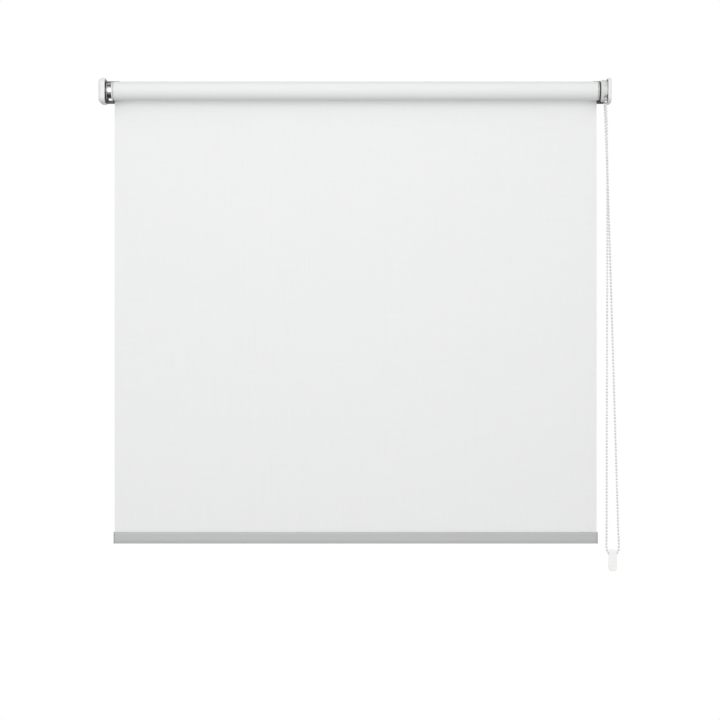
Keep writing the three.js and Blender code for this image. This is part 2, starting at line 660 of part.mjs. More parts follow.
const idlePlateFace = IDLE_PLATE + SHEET_METAL;
const hubScrew = screwGeometry(HUB_SCREW, SCREW_HEAD, IDLE_SCREW_HEAD_HEIGHT, idlePlateFace, bushSeat + GAP);
placeOnAxis(idleSide, 'idle_hub_screw', hubScrew, STEEL);

// ---------------------------------------------------------------- clutch and chain wheel

const coreEnd = CONTROL_PLATE - GAP;
const coreTip = coreEnd - CORE_LENGTH;
const screwTip = plateOuter + GAP - CORE_SCREW_LENGTH;
const coreBody = turned([
  [CORE_BORE, coreTip],
  [CORE_RADIUS - 0.6, coreTip],
  [CORE_RADIUS, coreTip + 0.6],
  [CORE_RADIUS, coreEnd],
  [CORE_SCREW + GAP, coreEnd],
  [CORE_SCREW + GAP, screwTip - 1],
  [CORE_BORE, screwTip - 1],
]);
const keyPegs = [-KEY_PEG_PLACE, KEY_PEG_PLACE].map((z) => (
  rod(KEY_PEG, coreEnd - 1, plateOuter - GAP, 12).translate(0, 0, z)
));
placeOnAxis(controlSide, 'clutch_core', join(coreBody, ...keyPegs), GREY_PLASTIC);

const coreScrew = screwGeometry(CORE_SCREW, SCREW_HEAD, CORE_SCREW_HEAD_HEIGHT, plateOuter, screwTip);
placeOnAxis(controlSide, 'clutch_screw', coreScrew, STEEL);

// The chain runs in a smooth groove with a scoop for each bead.
function wheelGeometry() {
  const rim = WHEEL_RADIUS + WHEEL_RIM;
  const groove = Array.from({ length: 7 }, (_, i) => {
    const angle = Math.PI * i / 6;
    return [WHEEL_RADIUS - GROOVE_RADIUS * Math.sin(angle), WHEEL_PLANE - GROOVE_RADIUS * Math.cos(angle)];
  });
  const bore = CORE_RADIUS + GAP;
  const disc = turned([
    [bore, WHEEL_START],
    [rim, WHEEL_START],
    [rim, WHEEL_PLANE - GROOVE_RADIUS],
    ...groove,
    [rim, WHEEL_PLANE + GROOVE_RADIUS],
    [rim, WHEEL_END],
    [bore, WHEEL_END],
  ], 48);
  const scoops = Array.from({ length: WHEEL_POCKETS }, (_, i) => {
    const ball = new THREE.SphereGeometry(BEAD_RADIUS, 8, 5);
    ball.translate(WHEEL_PLANE, WHEEL_RADIUS - GAP - POCKET_DEPTH, 0);
    return ball.rotateX(2 * Math.PI * i / WHEEL_POCKETS);
  });
  const opening = FORK_OPENING / 2;
  const forkStart = Math.PI / 2 + opening;
  const forkEnd = 2.5 * Math.PI - opening;
  const forkFrom = WHEEL_START - FORK_REACH;
  const fork = sector(FORK_BORE, FORK_RADIUS, forkStart, forkEnd, forkFrom, WHEEL_START + 0.5, 24);
  return join(cut(disc, ...scoops), fork);
}

placeOnAxis(controlSide, 'chain_wheel', wheelGeometry(), WHITE_PLASTIC);

// Each spring hugs the core, and its two tangs stand in the fork's opening, one each side of the
// drive hub's key.
function wrapSpring(from) {
  const start = Math.PI / 2 + WRAP_ANGLE / 2 - 2 * Math.PI;
  const end = start + 2 * Math.PI * WRAP_TURNS + 2 * Math.PI - WRAP_ANGLE;
  const length = WRAP_PITCH * (end - start) / (2 * Math.PI);
  const coil = helix(WRAP_RADIUS, from, from + length, start + 0.12, end - 0.12, 12);
  const tang = (x, angle) => [WRAP_RADIUS + 0.5, FORK_RADIUS - 0.5].map((radius) => (
    [x, radius * Math.cos(angle), radius * Math.sin(angle)]
  ));
  const path = [...tang(from, start).reverse(), ...coil, ...tang(from + length, end)];
  return drawnAlong(path, WRAP_WIRE, 6, path.length - 1);
}

const wrapLength = WRAP_PITCH * (WRAP_TURNS + 1) + 2 * WRAP_WIRE;
placeOnAxis(controlSide, 'wrap_spring_outer', wrapSpring(WHEEL_START - wrapLength - 2), STEEL);
placeOnAxis(controlSide, 'wrap_spring_inner', wrapSpring(WHEEL_START - 2 * wrapLength - 4), STEEL);

// ---------------------------------------------------------------- chain guard

function guardGeometry() {
  const end = CONTROL_PLATE - GAP;
  const first = GUARD_START + GUARD_CHAMFER + 0.4;
  const spacing = (CONTROL_COVER_START - GAP - first) / GUARD_RINGS;
  const rings = Array.from({ length: GUARD_RINGS }, (_, i) => {
    const from = first + spacing * i;
    return [
      [GUARD_RADIUS, from],
      [GUARD_RADIUS + GUARD_RING, from + 0.3],
      [GUARD_RADIUS + GUARD_RING, from + GUARD_RING_WIDTH],
      [GUARD_RADIUS, from + GUARD_RING_WIDTH + 0.3],
    ];
  });
  const shell = turned([
    [GUARD_EYE, GUARD_START],
    [GUARD_RADIUS - GUARD_CHAMFER, GUARD_START],
    [GUARD_RADIUS, GUARD_START + GUARD_CHAMFER],
    ...rings.flat(),
    [GUARD_RADIUS, end],
    [GUARD_BORE, end],
    [GUARD_BORE, GUARD_START + GUARD_WALL],
    [GUARD_EYE, GUARD_START + GUARD_WALL],
  ]);
  const half = BEAD_RADIUS + STRAND_RUN;
  const slots = [-WHEEL_RADIUS, WHEEL_RADIUS].map((y) => (
    box([WHEEL_PLANE - half, end + 1], [y - half, y + half], [-2 * GUARD_RADIUS, 0])
  ));
  return cut(shell, ...slots);
}

placeOnAxis(controlSide, 'chain_guard', guardGeometry(), CLEAR_PLASTIC);

// ---------------------------------------------------------------- bead chain and its weight

// The chain's envelope over the top of the wheel, between the two places where it leaves the wheel.
const leave = 0.15 / WHEEL_RADIUS;
const overWheel = helix(WHEEL_RADIUS, WHEEL_PLANE, WHEEL_PLANE, leave, Math.PI - leave, 48);
const wrap = drawnAlong(overWheel, BEAD_RADIUS, 8, overWheel.length - 1);
placeOnAxis(controlSide, 'chain_wrap', wrap, BEAD_PLASTIC);

const hanging = drawnAlong(CHAIN_ROUTE, BEAD_RADIUS, 8, 3 * (CHAIN_ROUTE.length - 1));
hanging.translate(WHEEL_PLANE, 0, 0);
placeOnAxis(controlSide, 'bead_chain', hanging, BEAD_PLASTIC);

// One half of the weight's shell, towards the room (-1) or the wall (1), with half of the channel
// that the chain runs round in and half of the slug's pocket.
function weightShell(towards) {
  const edge = { bevelEnabled: true, bevelThickness: WEIGHT_EDGE, bevelSize: WEIGHT_EDGE, bevelSegments: 3 };
  const across = WEIGHT_WIDTH - 2 * WEIGHT_EDGE;
  const outline = roundedRectangle(across, WEIGHT_HEIGHT - 2 * WEIGHT_EDGE, WEIGHT_CORNER);
  const depth = WEIGHT_DEPTH - 2 * WEIGHT_EDGE;
  const body = new THREE.ExtrudeGeometry(outline, { depth, curveSegments: 5, ...edge });
  body.translate(0, 0, -depth / 2).rotateX(Math.PI / 2);
  body.translate(LOOP_CENTRE[0], 0, WEIGHT_TOP - WEIGHT_HEIGHT / 2);
  const reach = WEIGHT_HEIGHT * 2;
  const [near, far] = towards < 0 ? [-reach, -GAP / 2] : [GAP / 2, reach];
  const half = box([-reach, reach], [near, far], [-1000, 0]);
  const turn = helix(LOOP_RADIUS, 0, 0, Math.PI, 2 * Math.PI, 36);
  const channelPath = turn.map(([, y, z]) => [LOOP_CENTRE[0] + y, 0, LOOP_CENTRE[2] + z]);
  const channel = drawnAlong(channelPath, BEAD_RADIUS + GAP + 0.15, 12, channelPath.length - 1);
  const pocketTop = WEIGHT_TOP - SLUG_BELOW_TOP + GAP;
  const pocketX = [LOOP_CENTRE[0] - SLUG_WIDTH / 2 - GAP, LOOP_CENTRE[0] + SLUG_WIDTH / 2 + GAP];
  const pocketY = [-SLUG_DEPTH / 2 - GAP, SLUG_DEPTH / 2 + GAP];
  const pocket = box(pocketX, pocketY, [pocketTop - SLUG_HEIGHT - 2 * GAP, pocketTop]);
  return cut(common(body, half), channel, pocket).translate(WHEEL_PLANE, 0, 0);
}

placeOnAxis(controlSide, 'chain_weight_front', weightShell(-1), BEAD_PLASTIC);
placeOnAxis(controlSide, 'chain_weight_back', weightShell(1), BEAD_PLASTIC);

const slugX = [LOOP_CENTRE[0] - SLUG_WIDTH / 2, LOOP_CENTRE[0] + SLUG_WIDTH / 2];
const slugTop = WEIGHT_TOP - SLUG_BELOW_TOP;
const slug = box(slugX, [-SLUG_DEPTH / 2, SLUG_DEPTH / 2], [slugTop - SLUG_HEIGHT, slugTop]);
placeOnAxis(controlSide, 'chain_weight_slug', slug.translate(WHEEL_PLANE, 0, 0), STEEL);

export default blind;
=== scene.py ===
"""Roller blind on two covered brackets, let down, with its side bead chain. Metres, +Z up.

+X runs along the roll from the idle end to the chain end, the wall is the plane Y = 0 and the
room is at -Y. The roll's axis is at Y = -0.03, Z = 0.
"""
import math

import bmesh
import bpy
import numpy as np
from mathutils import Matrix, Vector


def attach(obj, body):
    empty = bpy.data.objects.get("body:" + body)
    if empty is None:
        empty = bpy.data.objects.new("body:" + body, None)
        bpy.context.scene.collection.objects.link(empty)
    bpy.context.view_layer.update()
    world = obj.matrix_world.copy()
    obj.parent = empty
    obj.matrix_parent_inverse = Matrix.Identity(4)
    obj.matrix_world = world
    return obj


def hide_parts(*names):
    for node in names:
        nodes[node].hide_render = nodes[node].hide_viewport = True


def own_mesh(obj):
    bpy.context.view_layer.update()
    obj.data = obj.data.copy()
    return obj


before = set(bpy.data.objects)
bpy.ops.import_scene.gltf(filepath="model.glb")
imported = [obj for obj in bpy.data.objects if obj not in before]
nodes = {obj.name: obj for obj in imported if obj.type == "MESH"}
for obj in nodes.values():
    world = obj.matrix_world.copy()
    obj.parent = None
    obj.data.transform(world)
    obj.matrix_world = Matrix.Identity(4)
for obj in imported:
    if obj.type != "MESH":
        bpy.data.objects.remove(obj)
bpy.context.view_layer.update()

# ---------------------------------------------------------------- brackets and small steel parts
# Bent brackets, screws, springs, the sprung pin and the slug in the chain's weight are all plated
# steel. The plating has a faint grain along the sheet and a slight cloudiness. The brackets' is
# painted darker: painted shade for the shade they lie in behind the roll, near the wall.


def new_finish(name, **sockets):
    """A material with one main shader, and that shader."""
    finish = bpy.data.materials.new(name)
    finish.use_nodes = True
    shader = finish.node_tree.nodes["Principled BSDF"]
    for socket, value in sockets.items():
        shader.inputs[socket.replace("_", " ")].default_value = value
    return finish, shader


def add_node(finish, kind, inputs=None, **settings):
    """A node whose inputs are fixed values or another node's output."""
    made = finish.node_tree.nodes.new(kind)
    for key, value in settings.items():
        setattr(made, key, value)
    for socket, value in (inputs or {}).items():
        if isinstance(value, bpy.types.NodeSocket):
            finish.node_tree.links.new(value, made.inputs[socket])
        else:
            made.inputs[socket].default_value = value
    return made


def grain(finish, fineness, scale, detail=3.0):
    """Noise from 0 to 1, finer along the axes that have the higher numbers in fineness."""
    place = add_node(finish, "ShaderNodeTexCoord").outputs["Object"]
    drawn = add_node(finish, "ShaderNodeMapping", {"Vector": place, "Scale": fineness})
    noise = {"Vector": drawn.outputs["Vector"], "Scale": scale, "Detail": detail}
    return add_node(finish, "ShaderNodeTexNoise", noise).outputs["Fac"]


def shade(finish, shader, socket, amount, low, high):
    """Runs a socket between two values as amount goes from 0.3 to 0.7."""
    spread = {"Value": amount, "From Min": 0.3, "From Max": 0.7, "To Min": low, "To Max": high}
    result = add_node(finish, "ShaderNodeMapRange", spread).outputs["Result"]
    finish.node_tree.links.new(result, shader.inputs[socket])


def tint(finish, shader, amount, low, high):
    """Runs the colour between two as amount goes from 0.3 to 0.7."""
    spread = {"Value": amount, "From Min": 0.3, "From Max": 0.7}
    share = add_node(finish, "ShaderNodeMapRange", spread).outputs["Result"]
    ramp = add_node(finish, "ShaderNodeValToRGB", {0: share})
    for stop, colour in zip(ramp.color_ramp.elements, (low, high)):
        stop.color = (*colour, 1)
    finish.node_tree.links.new(ramp.outputs["Color"], shader.inputs["Base Color"])


def roughen(finish, shader, height, strength, depth):
    """Raises the surface by a height map, depth metres at most."""
    bump = {"Height": height, "Strength": strength, "Distance": depth}
    normal = add_node(finish, "ShaderNodeBump", bump).outputs["Normal"]
    finish.node_tree.links.new(normal, shader.inputs["Normal"])


def coat(finish, *pieces):
    """Puts a finish on each piece, given by its object or its node's name."""
    for piece in pieces:
        surface = nodes[piece].data if isinstance(piece, str) else piece.data
        surface.materials.clear()
        surface.materials.append(finish)


def plated(name, metallic, fineness, low, high, smoothest, roughest):
    """Plated steel, cloudy between two colours, with grain lines across its finest axis."""
    steel, shader = new_finish(name, Metallic=metallic, IOR=2.0)
    lines = grain(steel, fineness, 1.0)
    tint(steel, shader, grain(steel, (1, 1, 1), 140), low, high)
    shade(steel, shader, "Roughness", lines, smoothest, roughest)
    roughen(steel, shader, lines, 0.25, 0.00005)
    return steel


zinc = plated("zinc_plated_steel", 1.0, (60, 60, 900), (0.44, 0.45, 0.47), (0.6, 0.61, 0.62), 0.26, 0.42)
coat(zinc, "idle_hub_screw", "clutch_screw", "idle_pin")
coat(zinc, "wrap_spring_inner", "wrap_spring_outer", "chain_weight_slug")
# Painted shade: the brackets' near-black plating stands in for the shade behind the roll.
shade_painted_plate = plated(
    "plated_steel_painted_shade", 1.0, (60, 60, 900), (0.1, 0.1, 0.102), (0.14, 0.14, 0.143), 0.3, 0.45,
)
coat(shade_painted_plate, "idle_bracket", "control_bracket")

# ---------------------------------------------------------------- bracket covers
# White moulded shells that snap over the brackets' plates from the outside, open to the wall and
# the roll. The idle one is domed and the chain end's is flatter.

AXIS_Y = -0.03
COVER_HALF = 0.02313
COVER_BACK = -0.0006
COVER_WALL = 0.0016
FRONT_ROUND = 0.012
IDLE_PLATE, IDLE_END, IDLE_EDGE = -0.012, -0.0238, 0.006
CONTROL_PLATE, CONTROL_END, CONTROL_EDGE = 0.9214, 0.9277, 0.002
THINNEST_ROUND = 0.0004
CORNER_STEPS, EDGE_STEPS = 12, 9


def new_piece(name, body, points, faces, crisp=35):
    """A mesh, smooth but for edges sharper than crisp degrees, that rides a body if one is given."""
    surface = bpy.data.meshes.new(name)
    surface.from_pydata([tuple(p) for p in points], [], [tuple(f) for f in faces])
    surface.validate()
    surface.shade_smooth()
    surface.set_sharp_from_angle(angle=math.radians(crisp))
    made = bpy.data.objects.new(name, surface)
    bpy.context.scene.collection.objects.link(made)
    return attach(made, body) if body else made


def outward_faces(points, faces):
    """Turns the faces so that neighbours agree and the whole faces outwards."""
    shape = bmesh.new()
    corners = [shape.verts.new(p) for p in points]
    for face in faces:
        shape.faces.new([corners[i] for i in face])
    shape.verts.index_update()
    bmesh.ops.recalc_face_normals(shape, faces=shape.faces)
    facing = [[v.index for v in face.verts] for face in shape.faces]
    shape.free()
    return facing


def cover_outline(inset):
    """Side outline from the wall over the top, round the front and back to the wall, as (y, z)."""
    half = COVER_HALF - inset
    front = AXIS_Y - COVER_HALF + inset
    corner = max(FRONT_ROUND - inset, THINNEST_ROUND)
    turns = np.linspace(math.pi / 2, math.pi, CORNER_STEPS)
    top = [(front + corner + corner * math.cos(a), half - corner + corner * math.sin(a)) for a in turns]
    return [(COVER_BACK, half), *top, *[(y, -z) for y, z in reversed(top)], (COVER_BACK, -half)]


def cover(name, node, plate, end, edge):
    """A shell from the plate out to end, its outer edge rounded by edge. Places are along X."""
    away = 1 if end > plate else -1
    turns = np.linspace(0, math.pi / 2, EDGE_STEPS)
    shells = []
    for wall in (0, COVER_WALL):
        reach, round_by = abs(end - plate) - wall, max(edge - wall, THINNEST_ROUND)
        profile = [(0, wall)]
        profile += [
            (reach - round_by + round_by * math.sin(a), wall + round_by * (1 - math.cos(a))) for a in turns
        ]
        shells.append([
            [(plate + away * x, y, z) for y, z in cover_outline(inset)] for x, inset in profile
        ])
    count, rows = len(shells[0][0]), len(shells[0])
    points = [p for shell in shells for row in shell for p in row]

    def at(shell, row, i):
        return (shell * rows + row) * count + i

    faces = []
    for shell in (0, 1):
        for row in range(rows - 1):
            faces += [
                (at(shell, row, i), at(shell, row, i + 1), at(shell, row + 1, i + 1), at(shell, row + 1, i))
                for i in range(count - 1)
            ]
        faces.append([at(shell, rows - 1, i) for i in range(count)])
    faces += [(at(0, 0, i), at(1, 0, i), at(1, 0, i + 1), at(0, 0, i + 1)) for i in range(count - 1)]
    for i in (0, count - 1):
        faces += [
            (at(0, row, i), at(0, row + 1, i), at(1, row + 1, i), at(1, row, i)) for row in range(rows - 1)
        ]
    last = rows - 1
    faces.append((at(0, last, 0), at(0, last, count - 1), at(1, last, count - 1), at(1, last, 0)))
    made = new_piece(name, "root", points, outward_faces(points, faces))
    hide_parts(node)
    return made


def moulded(name, clouds, low, high, pores, smoothest, roughest, strength, depth=0.00006, ior=1.5):
    """Moulded plastic, cloudy between two colours, with fine pores that roughen it."""
    plastic, shader = new_finish(name, IOR=ior)
    tint(plastic, shader, grain(plastic, (1, 1, 1), clouds), low, high)
    fine = grain(plastic, (1, 1, 1), pores, 2)
    shade(plastic, shader, "Roughness", fine, smoothest, roughest)
    roughen(plastic, shader, fine, strength, depth)
    return plastic


white = moulded(
    "white_moulding", 60, (0.72, 0.72, 0.715), (0.76, 0.76, 0.755), 900, 0.34, 0.46, 0.12, ior=1.49,
)

idle_cover = cover("idle_cover", "idle_bracket_cover", IDLE_PLATE, IDLE_END, IDLE_EDGE)
control_cover = cover("control_cover", "control_bracket_cover", CONTROL_PLATE, CONTROL_END, CONTROL_EDGE)
coat(white, idle_cover, control_cover)

# ---------------------------------------------------------------- polished hub and its disc
# The idle end turns on a chromed hub that is screwed to the bracket's plate. A stepped steel disc
# stands between them, painted bright towards the hub as painted light and dark towards the plate
# as painted shade, and a white bush in the hub carries the pin.

ROUND = 96
HUB_START, HUB_FLOOR, HUB_END = -0.0009, -0.0069, -0.0089
HUB_RADIUS, HUB_EDGE, DISC_EDGE = 0.0135, 0.0009, 0.0003
SCREW_HOLE, BUSH_HOLE = 0.0019, 0.0053


def turned(name, body, outline):
    """Turns a closed outline of (x, radius) points about the roll's axis."""
    points, faces, n = [], [], len(outline)
    for k in range(ROUND):
        a = 2 * math.pi * k / ROUND
        points += [(x, AXIS_Y + r * math.cos(a), r * math.sin(a)) for x, r in outline]
    for k in range(ROUND):
        here, there = k * n, (k + 1) % ROUND * n
        faces += [(here + i, here + (i + 1) % n, there + (i + 1) % n, there + i) for i in range(n)]
    return new_piece(name, body, points, outward_faces(points, faces))


def rounded(outline, by, steps=4):
    """Rounds each corner of an (x, radius) outline by at most a third of its shorter side."""
    spots, smooth = [np.array(p, float) for p in outline], []
    for before, here, after in zip([spots[-1]] + spots, spots, spots[1:] + spots[:1]):
        to_last, to_next = before - here, after - here
        reach = min(by, np.linalg.norm(to_last) / 3, np.linalg.norm(to_next) / 3)
        start = here + to_last / np.linalg.norm(to_last) * reach
        stop = here + to_next / np.linalg.norm(to_next) * reach
        smooth += [
            (1 - t) ** 2 * start + 2 * t * (1 - t) * here + t * t * stop for t in np.linspace(0, 1, steps)
        ]
    return smooth


# The chrome's base colour is painted reflection: its tone runs in bands of a dark and bright room by how
# far the surface faces up, from underneath to on top.
PAINTED_REFLECTION_UNDER, PAINTED_REFLECTION_OVER = 0.15, 0.85
PAINTED_REFLECTION_BANDS = (
    (0.04, 0.05), (0.19, 0.07), (0.27, 0.3), (0.34, 0.82), (0.74, 0.88),
    (0.82, 0.3), (0.86, 0.22), (0.92, 0.22), (0.96, 0.7),
)
chrome, chrome_shader = new_finish("chrome_painted_reflection", Metallic=1.0, IOR=2.5)
chrome_lines = grain(chrome, (2500, 30, 30), 1.0)
facing = add_node(chrome, "ShaderNodeNewGeometry").outputs["Normal"]
upward = add_node(chrome, "ShaderNodeSeparateXYZ", {0: facing}).outputs["Z"]
cloud_range = {"Value": grain(chrome, (1, 1, 1), 90), "To Min": 0.47, "To Max": 0.53}
cloud = add_node(chrome, "ShaderNodeMapRange", cloud_range).outputs["Result"]
turned_up = add_node(chrome, "ShaderNodeMath", {0: upward, 1: 0.5, 2: cloud}, operation="MULTIPLY_ADD")
# Painted reflection: these colour bands stand in for a mirrored room, not the chrome's own colour.
painted_reflection = add_node(chrome, "ShaderNodeValToRGB", {0: turned_up.outputs[0]})
for place, tone in PAINTED_REFLECTION_BANDS:
    painted_reflection.color_ramp.elements.new(place).color = (tone, tone, tone, 1)
for stop, tone in ((0, PAINTED_REFLECTION_UNDER), (-1, PAINTED_REFLECTION_OVER)):
    painted_reflection.color_ramp.elements[stop].color = (tone, tone, tone, 1)
chrome.node_tree.links.new(painted_reflection.outputs["Color"], chrome_shader.inputs["Base Color"])
shade(chrome, chrome_shader, "Roughness", chrome_lines, 0.07, 0.13)
roughen(chrome, chrome_shader, chrome_lines, 0.06, 0.00002)

hub = turned("polished_hub", "root", rounded([
    (HUB_START, BUSH_HOLE), (HUB_START, HUB_RADIUS), (HUB_END, HUB_RADIUS),
    (HUB_END, SCREW_HOLE), (HUB_FLOOR, SCREW_HOLE), (HUB_FLOOR, BUSH_HOLE),
], HUB_EDGE))
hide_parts("idle_hub")
coat(chrome, hub)

lit_zinc_painted_light = plated("lit_zinc_painted_light", 0.6, (900, 60, 60), (0.72, 0.72, 0.73), (0.82, 0.82, 0.83), 0.3, 0.45)
# The disc's face is painted bright as painted light, and its rim is painted dark as painted shade.
for name, near, far, radius, finish in (
    ("disc_face_painted_light", -0.0092, -0.0101, 0.0145, lit_zinc_painted_light),
    ("disc_rim_painted_shade", -0.0102, -0.0117, 0.0165, shade_painted_plate),
):
    outline = [(near, SCREW_HOLE), (near, radius), (far, radius), (far, SCREW_HOLE)]
    disc = turned(name, "root", rounded(outline, DISC_EDGE))
    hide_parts("idle_hub_flange")
    coat(finish, disc)
coat(white, "idle_hub_bush")

# ---------------------------------------------------------------- clutch and chain wheel
# At the chain end a fixed grey core is screwed to the bracket. Two wrap springs grip it, and the
# white pocketed wheel turns them and the roll.

grey = moulded(
    "grey_moulding", 80, (0.42, 0.42, 0.43), (0.47, 0.47, 0.48), 700, 0.42, 0.55, 0.15, 0.00008,
)
coat(grey, "clutch_core", "pin_retainer")
coat(white, "chain_wheel")

# ---------------------------------------------------------------- chain guard
# A milky moulded drum round the chain wheel, with three low rings on its outside and two slots
# below for the strands. It passes a little light, so the chain inside shows faintly.

WHEEL_X, WHEEL_RADIUS, BEAD_RADIUS = 0.9178, 0.01528, 0.00225
GUARD_START, GUARD_END = 0.9087, 0.9214
GUARD_RADIUS, GUARD_BORE, GUARD_WALL, GUARD_CHAMFER = 0.02013, 0.0116, 0.0016, 0.002
RING_PLACE, RING_PITCH, RING_HEIGHT = 0.0024, 0.00333, 0.0008
RING_FOOT, RING_SLOPE = 0.0018, 0.0003
GUARD_EDGE = 0.0004
STRAND_GAP = BEAD_RADIUS + 0.00075
CUT_BELOW, CUT_PAST = 0.05, 0.001


def box_points(low, high):
    """Corners and faces of a box."""
    corners = [(x, y, z) for x in (low[0], high[0]) for y in (low[1], high[1]) for z in (low[2], high[2])]
    return corners, [(0, 1, 3, 2), (4, 6, 7, 5), (0, 4, 5, 1), (2, 3, 7, 6), (0, 2, 6, 4), (1, 5, 7, 3)]


def cut_away(piece, *cutters):
    """Cuts boxes or other shapes, given as points and faces, out of a piece."""
    for points, faces in cutters:
        tool = new_piece("cutter", None, points, outward_faces(points, faces))
        cut = piece.modifiers.new("cut", "BOOLEAN")
        cut.operation, cut.solver, cut.object = "DIFFERENCE", "EXACT", tool
        bpy.context.view_layer.update()
        shown = piece.evaluated_get(bpy.context.evaluated_depsgraph_get())
        surface = bpy.data.meshes.new_from_object(shown)
        piece.modifiers.clear()
        piece.data = surface
        bpy.data.objects.remove(tool)


rings = []
for k in range(3):
    ring_start = GUARD_START + RING_PLACE + RING_PITCH * k
    ring_end = ring_start + RING_FOOT
    rings += [
        (ring_start, GUARD_RADIUS), (ring_start + RING_SLOPE, GUARD_RADIUS + RING_HEIGHT),
        (ring_end - RING_SLOPE, GUARD_RADIUS + RING_HEIGHT), (ring_end, GUARD_RADIUS),
    ]
guard = turned("milky_guard", "root", rounded([
    (GUARD_START, GUARD_BORE), (GUARD_START, GUARD_RADIUS - GUARD_CHAMFER),
    (GUARD_START + GUARD_CHAMFER, GUARD_RADIUS), *rings, (GUARD_END, GUARD_RADIUS),
    (GUARD_END, GUARD_RADIUS - GUARD_WALL), (GUARD_START + GUARD_WALL, GUARD_RADIUS - GUARD_WALL),
    (GUARD_START + GUARD_WALL, GUARD_BORE),
], GUARD_EDGE, 3))
cut_away(guard, *[
    box_points(
        (WHEEL_X - STRAND_GAP, AXIS_Y + side * WHEEL_RADIUS - STRAND_GAP, -CUT_BELOW),
        (GUARD_END + CUT_PAST, AXIS_Y + side * WHEEL_RADIUS + STRAND_GAP, 0.0),
    ) for side in (-1, 1)
])
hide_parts("chain_guard")


def half_clear(name, low, high, passed, open_share):
    """A milky moulding that glows with the passed share of light and shows open_share clear."""
    milky = moulded(name, 110, low, high, 800, 0.25, 0.4, 0.1, ior=1.49)
    solid = milky.node_tree.nodes["Principled BSDF"].outputs[0]
    glow = add_node(milky, "ShaderNodeBsdfTranslucent", {"Color": (0.88, 0.89, 0.87, 1)}).outputs[0]
    clear = add_node(milky, "ShaderNodeBsdfTransparent", {"Color": (0.95, 0.96, 0.94, 1)}).outputs[0]
    lit = add_node(milky, "ShaderNodeMixShader", {0: passed, 1: solid, 2: glow}).outputs[0]
    both = add_node(milky, "ShaderNodeMixShader", {0: open_share, 1: lit, 2: clear}).outputs[0]
    milky.node_tree.links.new(both, milky.node_tree.nodes["Material Output"].inputs["Surface"])
    return milky


coat(half_clear("milky_guard", (0.84, 0.85, 0.835), (0.9, 0.905, 0.89), 0.25, 0.07), guard)

# ---------------------------------------------------------------- tube and its plugs
# An extruded aluminium tube with a white ribbed plug pushed into each end. The idle plug holds
# the sprung pin and its coil. The drive hub is turned by the clutch, has a thinner flange and
# carries a spacer ring painted black: painted shade for the shaded gap next to the guard.

PLUG_CORE, PLUG_FLANGE, PLUG_EDGE = 0.0132, 0.017, 0.0005
RIB_FOOT, RIB_TOP, RIB_WIDTH = 0.0122, 0.0146, 0.002
IDLE_START, IDLE_FLANGE, IDLE_FLOOR, IDLE_STOP = -0.0006, 0.0024, 0.0032, 0.0364
PIN_HOLE, COIL_BORE = 0.0033, 0.0053
COIL_START, COIL_END, COIL_RADIUS, COIL_TURNS, WIRE_RADIUS = 0.00675, 0.02775, 0.0036, 8, 0.00045
COIL_POINTS = 161
DRIVE_START, DRIVE_FLOOR, DRIVE_FLANGE, DRIVE_STEP, DRIVE_STOP = 0.877, 0.88, 0.904, 0.906, 0.9081
FORK_HOLE, DRIVE_BORE, DRIVE_NECK = 0.0003, 0.0113, 0.0125
WASHER_START, WASHER_END = 0.9063, 0.9084
WASHER_BORE, WASHER_RADIUS, WASHER_EDGE = 0.0128, 0.0185, 0.0003


def extruded(name, metallic, ior, low, high, smoothest, roughest, strength):
    """Satin aluminium, streaked between two colours, with fine lines along the roll."""
    metal, shader = new_finish(name, Metallic=metallic, IOR=ior)
    lines = grain(metal, (3, 2600, 2600), 1.0)
    tint(metal, shader, grain(metal, (2, 60, 60), 1.0), low, high)
    shade(metal, shader, "Roughness", lines, smoothest, roughest)
    roughen(metal, shader, lines, strength, 0.00003)
    return metal


satin = extruded(
    "satin_aluminium", 0.75, 1.8, (0.5, 0.505, 0.515), (0.56, 0.565, 0.575), 0.42, 0.6, 0.12,
)
coat(satin, "tube")


def ribs(start, stop, inner, outer, width, count):
    """Ribs along the roll's axis, as one list of points and one of faces."""
    points, faces = [], []
    for k in range(count):
        a = 2 * math.pi * (k + 0.5) / count
        corners, sides = box_points((start, inner, -width / 2), (stop, outer, width / 2))
        faces += [[len(points) + i for i in side] for side in sides]
        points += [
            (x, AXIS_Y + y * math.cos(a) - z * math.sin(a), y * math.sin(a) + z * math.cos(a))
            for x, y, z in corners
        ]
    return points, faces


def cord_tube(line, radius, sides=6):
    """Points and faces of a round wire or cord along a line."""
    points, faces = [], []
    aside = np.array([0.0, 1.0, 0.0])
    for i, spot in enumerate(line):
        along = line[min(i + 1, len(line) - 1)] - line[max(i - 1, 0)]
        along = along / np.linalg.norm(along)
        aside = aside - along * np.dot(aside, along)
        if np.linalg.norm(aside) < 0.1:
            aside = np.cross(along, (1.0, 0.0, 0.0))
        aside = aside / np.linalg.norm(aside)
        other = np.cross(along, aside)
        for k in range(sides):
            a = 2 * math.pi * k / sides
            points.append(spot + radius * (math.cos(a) * aside + math.sin(a) * other))
    for i in range(len(line) - 1):
        for k in range(sides):
            n = (k + 1) % sides
            faces.append((i * sides + k, i * sides + n, (i + 1) * sides + n, (i + 1) * sides + k))
    return points, faces


def plug(name, node, outline, rib_start, rib_stop):
    """A turned plug with six ribs on its core, their feet sunk into it."""
    core = turned(name, "roll", rounded(outline, PLUG_EDGE, 3))
    points, faces = ribs(rib_start, rib_stop, RIB_FOOT, RIB_TOP, RIB_WIDTH, 6)
    rib_piece = new_piece(name + "_ribs", "roll", points, outward_faces(points, faces))
    rib_piece.parent = core
    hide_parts(node)
    coat(white, core, rib_piece)


plug("idle_plug", "idle_end_plug", [
    (IDLE_START, PIN_HOLE), (IDLE_START, PLUG_FLANGE), (IDLE_FLANGE, PLUG_FLANGE),
    (IDLE_FLANGE, PLUG_CORE), (IDLE_STOP, PLUG_CORE), (IDLE_STOP, COIL_BORE),
    (IDLE_FLOOR, COIL_BORE), (IDLE_FLOOR, PIN_HOLE),
], IDLE_FLANGE - 0.0005, IDLE_STOP - 0.001)

